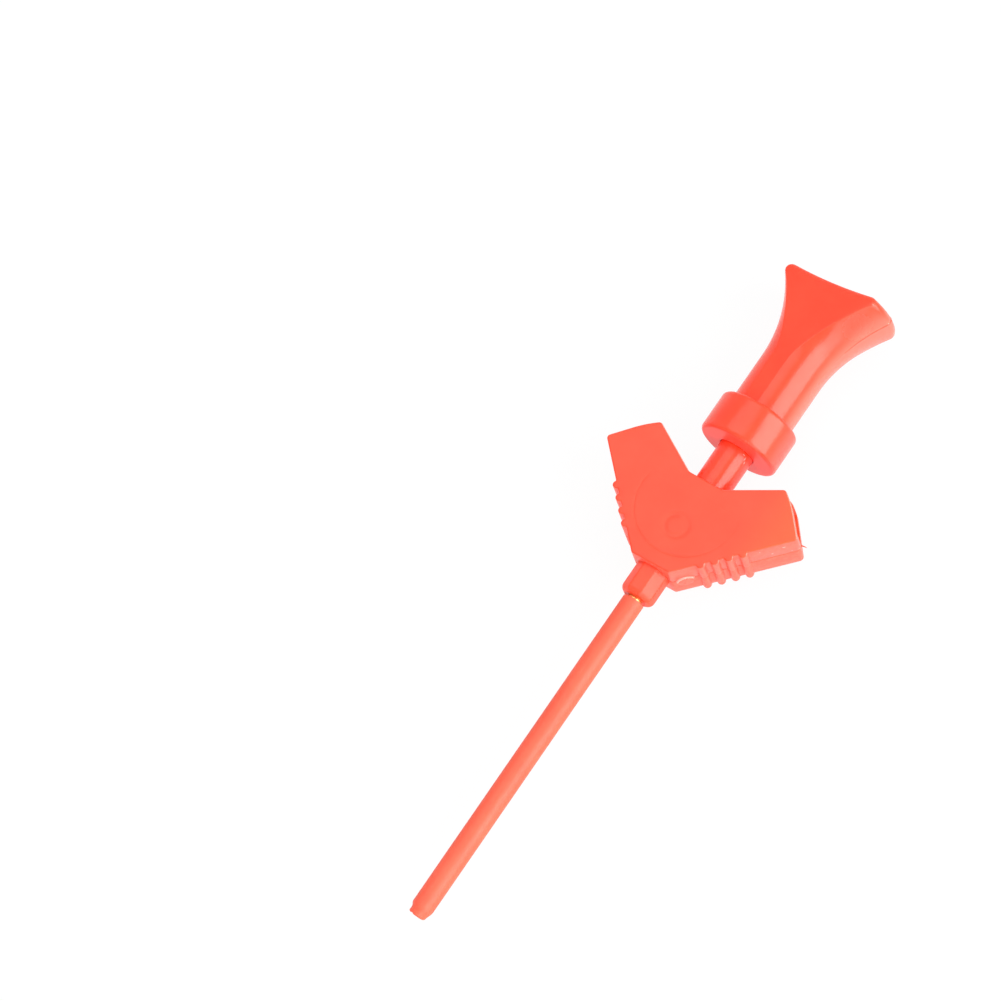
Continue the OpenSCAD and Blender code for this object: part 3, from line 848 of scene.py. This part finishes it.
def collar_mesh():
    """Collar with a flat underside, rounded edges and the seat of the button."""
    outer_r, hole_r, seat_r, soft = 3.0, 1.345, 2.36, 0.3
    low = COLLAR_X + 0.05
    profile = [(COLLAR_X + 0.08, hole_r), (COLLAR_X + 0.03, hole_r + 0.015), (COLLAR_X + 0.005, 1.40)]
    profile += [(COLLAR_X, 1.5), (COLLAR_X + 0.015, 2.0), (low - 0.005, 2.5)]
    profile += arc_points(low + soft, outer_r - soft, soft, 180, 90, 8)
    profile += arc_points(COLLAR_END - soft, outer_r - soft, soft, 90, 0, 8)
    profile += [(COLLAR_END, 2.44), (COLLAR_END - 0.03, 2.39), (COLLAR_END - 0.05, seat_r), (WEB_TOP, seat_r)]
    profile += [(WEB_TOP, hole_r + 0.04), (WEB_TOP - 0.04, hole_r)]
    return loft([circle(x, r, 128) for x, r in profile], closed=True)


collar = skin_object("collar_moulding", *collar_mesh())
finish_piece(collar, "plunger", RED_GLOSS, ["collar_ring"], 30)


# Thumb button: a flared trumpet cut by two flats, with softened edges

SHAFT_R, FLAT_HALF, FLARE_R, RIM_SOFT, DISH_R = 2.34, 2.255, 10.1, 0.45, 37.0
FLARE_X = COLLAR_X + 6.76

# The rim's rounding touches the flare's arc and ends in the top
RIM_X = BUTTON_TOP - RIM_SOFT
RIM_MID = SHAFT_R + FLARE_R - math.sqrt((FLARE_R + RIM_SOFT) ** 2 - (RIM_X - FLARE_X) ** 2)
RIM_START = math.atan2(SHAFT_R + FLARE_R - RIM_MID, FLARE_X - RIM_X)


def flare_radius(x):
    """Radius of the button at station x, up to the rim."""
    d = max(x - FLARE_X, 0.0)
    return SHAFT_R + FLARE_R - math.sqrt(FLARE_R ** 2 - d * d)


def dish_depth(y, z):
    """How far the dished top lies below the rim."""

    def sag(r):
        """How far the dish's sphere falls away at radius r."""
        return DISH_R - math.sqrt(DISH_R ** 2 - r * r)

    return sag(RIM_MID) - sag(min(math.hypot(y, z), RIM_MID))


def button_ring(x, r, flat, soft):
    """Ring of a circle of radius r cut by flats at +-flat, with the corners between them softened."""
    flat_steps, soft_steps, least_bulge = 12, 8, 1e-4
    soft = min(soft, 0.45 * flat)
    bulge_r = max(r, flat + least_bulge)
    soft_y = math.sqrt(max((bulge_r - soft) ** 2 - (flat - soft) ** 2, 0.0))
    quarter = [(soft_y * i / flat_steps, flat) for i in range(flat_steps + 1)]
    end = math.atan2(flat - soft, soft_y)
    for i in range(1, soft_steps + 1):
        a = math.pi / 2 + (end - math.pi / 2) * i / soft_steps
        quarter.append((soft_y + soft * math.cos(a), flat - soft + soft * math.sin(a)))
    for share in (0.12, 0.26, 0.4, 0.54, 0.67, 0.78, 0.87, 0.93, 0.955, 0.975):
        a = end * (1 - share)
        quarter.append((bulge_r * math.cos(a), bulge_r * math.sin(a)))
    ridge = 0.008 + 0.037 * smooth_step((x - FLARE_X - 1.5) / 4)
    quarter.append((bulge_r + ridge, 0.0))
    if r < bulge_r:
        quarter = [(y * r / bulge_r, z * r / bulge_r) for y, z in quarter]
    points = quarter + [(y, -z) for y, z in reversed(quarter[:-1])]
    points += [(-y, z) for y, z in reversed(points[1:-1])]
    return [(x, y, z) for y, z in points]


def button_mesh():
    """Button with its dished top and the bore for the spring, before it is turned on the axis."""

    def ring_at(x, r, flat, soft):
        """Ring that follows the dish near the top."""
        share = smooth_step((x - BUTTON_TOP + 3.2) / 3.0)
        return [(px - share * dish_depth(y, z), y, z) for px, y, z in button_ring(x, r, flat, soft)]

    flare_steps, flat_soft = 34, 0.16
    rim_steps, rim_fall, rim_flat_soft = 10, 0.24, 0.2
    last = RIM_X + RIM_SOFT * math.cos(RIM_START)
    stations = [WEB_TOP, COLLAR_END, FLARE_X - 1.5, FLARE_X - 0.5]
    stations += [FLARE_X + (last - FLARE_X) * i / flare_steps for i in range(flare_steps + 1)]
    rings = [ring_at(x, flare_radius(x), FLAT_HALF, flat_soft) for x in stations]
    for i in range(1, rim_steps + 1):
        a = RIM_START * (1 - i / rim_steps)
        fall = rim_fall * (1 - math.sin(min(a, math.pi / 2)))
        x, r = RIM_X + RIM_SOFT * math.cos(a), RIM_MID + RIM_SOFT * math.sin(a)
        rings.append(ring_at(x, r, FLAT_HALF - fall, rim_flat_soft))
    edge = rings[-1]
    for share in (0.96, 0.9, 0.8, 0.65, 0.5, 0.35, 0.18):
        spots = [(y * share, z * share) for _, y, z in edge]
        rings.append([(BUTTON_TOP - dish_depth(y, z), y, z) for y, z in spots])
    rings.append([(BUTTON_TOP - dish_depth(0, 0), 0.0, 0.0)])
    around = [math.atan2(z, y) for _, y, z in rings[0]]
    crimp_end, crimp_r, bore_r, lead = BORE_END + 2.04, 0.67, 1.8, 0.04
    bore = stepped((crimp_end, BORE_END, crimp_r), (BORE_END, WEB_TOP + lead, bore_r))
    bore.append((WEB_TOP, bore_r + lead))
    inner = [[(x, r * math.cos(a), r * math.sin(a)) for a in around] for x, r in bore]
    return loft([[(crimp_end, 0.0, 0.0)]] + inner + rings)


verts, faces = button_mesh()
thumb_button = skin_object("button_moulding", turned(verts), faces)
finish_piece(thumb_button, "plunger", RED_BUTTON, ["thumb_button"], 32)


# Claws with softened edges

def claw_mesh(name, side):
    """One hooked claw, its edges softened, turned with the button."""
    tip, bend, outer, inner, gap, half = 0.35, 2.45, 0.285, 0.085, 0.03, 0.2
    heel_r = (outer - inner) / 2
    edge, edge_angle = 0.018, math.radians(40)
    profile = [(bend, outer), (tip + 0.2, outer), (tip + 0.06, outer - 0.07), (tip, inner), (tip, gap),
               (tip + 0.17, gap), (tip + 0.2, inner - 0.01)]
    profile += arc_points(bend, inner + heel_r, heel_r, -90, 60, 5)
    rings = [[(x, side * y, z) for x, y in profile] for z in (-half, half)]
    verts, faces = loft(rings)
    mesh = mesh_of(name, turned(verts), faces)
    bm = bmesh.new()
    bm.from_mesh(mesh)
    sharp = [e for e in bm.edges if e.calc_face_angle(0) > edge_angle]
    bmesh.ops.bevel(bm, geom=sharp, offset=edge * MM, segments=2, profile=0.5, affect="EDGES")
    bm.to_mesh(mesh)
    bm.free()
    return mesh


for side, word in ((1, "left"), (-1, "right")):
    claw = object_of(word + "_claw_blade", claw_mesh(word + "_claw_blade", side))
    finish_piece(claw, "claw_" + word, GOLD, [word + "_claw"], 30)


# Return spring, which shortens as the button is pressed

SPRING_LOW, SPRING_HIGH = node_box("return_spring")
SPRING_LEN = SPRING_HIGH[0] - SPRING_LOW[0]


def spring_mesh():
    """Wire wound round the axis, its end coils closed, as long as the CAD spring."""
    wire_r, coils, steps, sides = 0.14, 8, 36, 12
    coil_r = SPRING_HIGH[1] - wire_r
    closed_pitch = 2.2 * wire_r
    open_pitch = (SPRING_LEN - 2 * wire_r - 2 * closed_pitch) / (coils - 2)
    rings = []
    for i in range(coils * steps + 1):
        turns = i / steps
        closed_turns = min(turns, 1) + max(0, turns - coils + 1)
        x = SPRING_LOW[0] + wire_r + closed_pitch * closed_turns + open_pitch * (turns - closed_turns)
        a = 2 * math.pi * turns
        ring = []
        for k in range(sides):
            b = 2 * math.pi * k / sides
            r = coil_r + wire_r * math.cos(b)
            ring.append((x + wire_r * math.sin(b), r * math.cos(a), r * math.sin(a)))
        rings.append(ring)
    return loft(rings)


spring = skin_object("spring_coil", *spring_mesh())
finish_piece(spring, "spring", STEEL, ["return_spring"], 60)
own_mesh(spring)


# Traces of moulding: the torn gate, nicks and flash, the pale ones with a painted glint

def on_right_wall(s, z, height):
    """Point at distance s from the nose corner along the right wing's outer wall, height above it."""
    c, d = math.cos(WING_ANGLE), math.sin(WING_ANGLE)
    return NOSE_X + c * s - d * height, -NOSE_HALF - d * s - c * height, z


def on_stem(turn, x, height):
    """Point on the stem just below the collar, turn degrees from +Y, height outside it."""
    r, a = STEM_R + height, math.radians(turn)
    return COLLAR_X - 0.25 + x, r * math.cos(a), r * math.sin(a)


def on_rim(across, x, height):
    """Point on the button's rim at its right-hand parting line."""
    return turned([(RIM_X + x, -RIM_MID - RIM_SOFT - height, across)])[0]


def lump(place, s, t, half_s, half_t, height, rough, seed):
    """Closed ragged lump that stands on a surface and reaches a little into it."""
    rings, steps = [], 28
    sunk, root, root_share = 0.02, 0.06, 0.8
    turns = [2 * math.pi * k / steps for k in range(steps)]
    for share in (1.0, 0.9, 0.75, 0.58, 0.4, 0.2):
        ring = []
        for a in turns:
            spot = Vector((1.6 * share * math.cos(a), 1.6 * share * math.sin(a), seed))
            edge = 1 + 0.35 * noise.noise(Vector((1.3 * math.cos(a), 1.3 * math.sin(a), seed + 5)))
            rise = height * (math.sqrt(1 - share * share) + rough * noise.noise(spot * 2.2) * (1 - share))
            ds, dt = half_s * share * edge * math.cos(a), half_t * share * edge * math.sin(a)
            ring.append(place(s + ds, t + dt, rise - sunk))
        rings.append(ring)
    root_s, root_t = root_share * half_s, root_share * half_t
    base = [place(s + root_s * math.cos(a), t + root_t * math.sin(a), -root) for a in turns]
    return loft([base] + rings + [[place(s, t, height * (1 + 0.4 * rough) - sunk)]])


def lump_piece(name, body, place, lumps, mat):
    """One piece made of lumps on the surface that place describes.

    A lump is given by its place on the surface, its two half widths, its height and its raggedness.
    """
    verts, faces, seed_step = [], [], 3.7
    for i, sizes in enumerate(lumps):
        points, skins = lump(place, *sizes, seed_step * i)
        faces += [[len(verts) + v for v in skin] for skin in skins]
        verts += points
    finish_piece(skin_object(name, verts, faces), body, mat, sharp=60)


def torn_edge(s, t, r, start, end, count):
    """Overlapping lumps along an arc round (s, t), angles in degrees, thick where it starts."""
    lumps = []
    half_length, ragged = 0.12, 0.9
    for i in range(count):
        u = i / (count - 1)
        a = math.radians(start + (end - start) * u)
        half_width, height = 0.13 - 0.08 * u, 0.14 - 0.04 * u
        lumps.append((s + r * math.cos(a), t + r * math.sin(a), half_length, half_width, height, ragged))
    return lumps


lump_piece("gate_stub", "clip_body", on_right_wall, [(0.90, -0.45, 0.60, 0.55, 0.06, 0.9)], RED_SHELL)
# The tear, specks, burr and flash are real forms, painted pale as painted glints
lump_piece("gate_tear", "clip_body", on_right_wall, torn_edge(0.93, -0.42, 0.68, 148, 36, 12), RED_SCUFF_GLINT)
lump_piece("wall_specks", "clip_body", on_right_wall, [
    (6.35, 1.22, 0.05, 0.04, 0.03, 0.5), (7.12, 0.55, 0.09, 0.05, 0.04, 0.5),
    (8.02, 1.10, 0.12, 0.06, 0.04, 0.5), (8.46, 0.30, 0.06, 0.05, 0.03, 0.5),
], RED_SCUFF_GLINT)
lump_piece("stem_burr", "clip_body", on_stem, [
    (135, 0.03, 6.0, 0.035, 0.03, 0.8), (146, -0.12, 2.2, 0.16, 0.03, 0.8),
    (152, -0.36, 1.8, 0.14, 0.03, 0.8),
], RED_SCUFF_GLINT)
lump_piece("rim_flash", "plunger", on_rim, [
    (0.0, 0.02, 0.05, 0.07, 0.035, 0.8), (0.07, -0.10, 0.04, 0.05, 0.03, 0.8),
], RED_SCUFF_GLINT)


def spur_mesh():
    """Whisker of flash beside the mouth of the right wing's socket."""
    across = WING_END_W / 2 - 0.6
    reach, drop, root, low, sides = 0.45, 0.75, 0.05, -0.45, 12
    rings = []
    for t, r in ((0.0, 0.075), (0.3, 0.065), (0.6, 0.05), (0.85, 0.03), (1.0, 0.0)):
        out, z = reach * t - root, low - drop * t ** 1.3
        turns = [2 * math.pi * k / sides for k in range(sides)] if r else [0.0]
        ring = [(-out, -across + r * math.cos(a), z + r * math.sin(a)) for a in turns]
        rings.append(on_wing(-1, ring))
    return loft(rings)


flash_spur = skin_object("flash_spur", *spur_mesh())
finish_piece(flash_spur, "clip_body", RED_BODY)


# CAD nodes that stay as they are
FINISH = {
    "left_post": GOLD, "right_post": GOLD, "contact_plate": GOLD, "brass_tube": GOLD, "wire_crimp": GOLD,
    "left_wire": STEEL, "right_wire": STEEL,
}
for node, mat in FINISH.items():
    mesh_slots = frame["nodes"][node].material_slots
    if len(mesh_slots):
        for mesh_slot in mesh_slots:
            mesh_slot.material = mat
    else:
        frame["nodes"][node].data.materials.append(mat)


# Floor, world, lights and camera

def white_share(nodes, links, share):
    """A share of white for what the camera sees directly, in a reflection or through glass."""
    path = nodes.new("ShaderNodeLightPath").outputs
    seen = math_node(nodes, links, "MAXIMUM", path["Is Camera Ray"], path["Is Glossy Ray"])
    seen = math_node(nodes, links, "MAXIMUM", seen, path["Is Transmission Ray"])
    return math_node(nodes, links, "MULTIPLY", seen, share)


def floor():
    """White paper that the clip lies on, which keeps the shadow."""
    gap, size, white = 0.005, 900.0, 0.94
    z = cad_box[0][2] / MM - gap
    corners = [(-size, -size, z), (size, -size, z), (size, size, z), (-size, size, z)]
    ob = skin_object("floor", corners, [[0, 1, 2, 3]])
    mat, nodes, links = material("floor_paper")
    output = nodes["Material Output"]
    nodes.remove(nodes["Principled BSDF"])
    paper = nodes.new("ShaderNodeBsdfDiffuse")
    paper.inputs["Color"].default_value = (0.9, 0.9, 0.9, 1)
    glow = nodes.new("ShaderNodeEmission")
    mix = nodes.new("ShaderNodeMixShader")
    links.new(white_share(nodes, links, white), mix.inputs["Fac"])
    links.new(paper.outputs["BSDF"], mix.inputs[1])
    links.new(glow.outputs["Emission"], mix.inputs[2])
    links.new(mix.outputs["Shader"], output.inputs["Surface"])
    ob.data.materials.append(mat)


def world():
    """Even white surroundings, pure white where the camera sees them."""
    scene_world = bpy.data.worlds.new("studio")
    bpy.context.scene.world = scene_world
    scene_world.use_nodes = True
    nodes, links = scene_world.node_tree.nodes, scene_world.node_tree.links
    background = nodes["Background"]
    background.inputs["Color"].default_value = (1, 1, 1, 1)
    path = nodes.new("ShaderNodeLightPath")
    strength = nodes.new("ShaderNodeMapRange")
    strength.inputs["To Min"].default_value = 0.8
    strength.inputs["To Max"].default_value = 1.0
    links.new(path.outputs["Is Camera Ray"], strength.inputs["Value"])
    links.new(strength.outputs["Result"], background.inputs["Strength"])


def softbox(name, direction, distance, width, height, level, target=(38.0, 0.0, 0.0)):
    """Rectangular lamp whose surface is level times as bright as white paper."""
    lamp = bpy.data.lights.new(name, "AREA")
    lamp.shape = "RECTANGLE"
    lamp.size, lamp.size_y = width * MM, height * MM
    lamp.energy = level * math.pi * lamp.size * lamp.size_y
    ob = object_of(name, lamp)
    aim = Vector(direction).normalized()
    ob.location = (Vector(target) + aim * distance) * MM
    ob.rotation_euler = aim.to_track_quat("Z", "X").to_euler()


def camera():
    """Camera of the photograph, fitted to the clip's outline, with a last shift of under half a pixel."""
    right = Vector((0.5546194, -0.8130659, -0.1769779))
    up = Vector((0.7943445, 0.4539950, 0.4036153))
    back = Vector((-0.2478187, -0.3644343, 0.8976489))
    shift = 0.0248 * right - 0.0174 * up
    place = Vector((-89.26956, -160.54888, 425.67450)) + shift
    data = bpy.data.cameras.new("camera")
    data.lens, data.sensor_width = 248.15, 36.0
    data.clip_start, data.clip_end = 0.01, 20.0
    ob = object_of("camera", data)
    axes = Matrix((right, up, back)).transposed().to_4x4()
    ob.matrix_world = Matrix.Translation(place * MM) @ axes
    bpy.context.scene.camera = ob


floor()
world()
softbox("side_box", (0.24, -0.86, 0.46), distance=350, width=330, height=230, level=4.3)
softbox("side_wing", (-0.18, -0.92, 0.36), distance=350, width=240, height=92, level=3.0)
softbox("top_panel", (0.24, 0.20, 0.94), distance=420, width=290, height=320, level=1.2)
softbox("front_fill", (-0.70, -0.60, 0.40), distance=400, width=260, height=420, level=1.8)
camera()
bpy.context.scene.view_settings.view_transform = "Standard"
